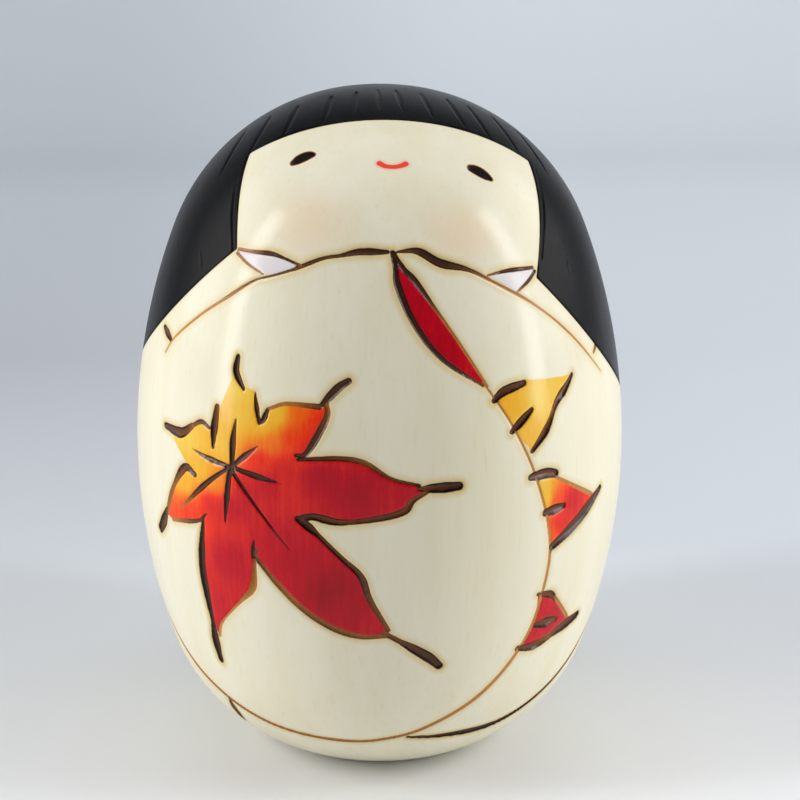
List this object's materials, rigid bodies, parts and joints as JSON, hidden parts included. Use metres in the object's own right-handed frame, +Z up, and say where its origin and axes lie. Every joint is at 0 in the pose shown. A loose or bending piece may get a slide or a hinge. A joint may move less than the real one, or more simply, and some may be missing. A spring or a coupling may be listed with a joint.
{
  "type": "kokeshi doll",
  "caption": "Egg-shaped turned wooden doll with a black hair cap, carved face, kimono collar and maple leaf; stands on a flat base.",
  "frame": {"origin": "middle of the flat base, on the surface that the doll stands on", "axes": "+Z up along the turning axis, from the base to the crown; the face looks along -Y"},
  "size_m": [0.0704, 0.0704, 0.095],
  "materials": {
    "turned_wood": "pale close-grained wood under clear satin lacquer",
    "black_lacquer": "satin black lacquer",
    "plug_wood": "bare sanded end grain"
  },
  "bodies": {
    "root": {"body_block": "turned_wood", "hair_cap": "black_lacquer", "base_plug": "plug_wood"}
  },
  "joints": []
}
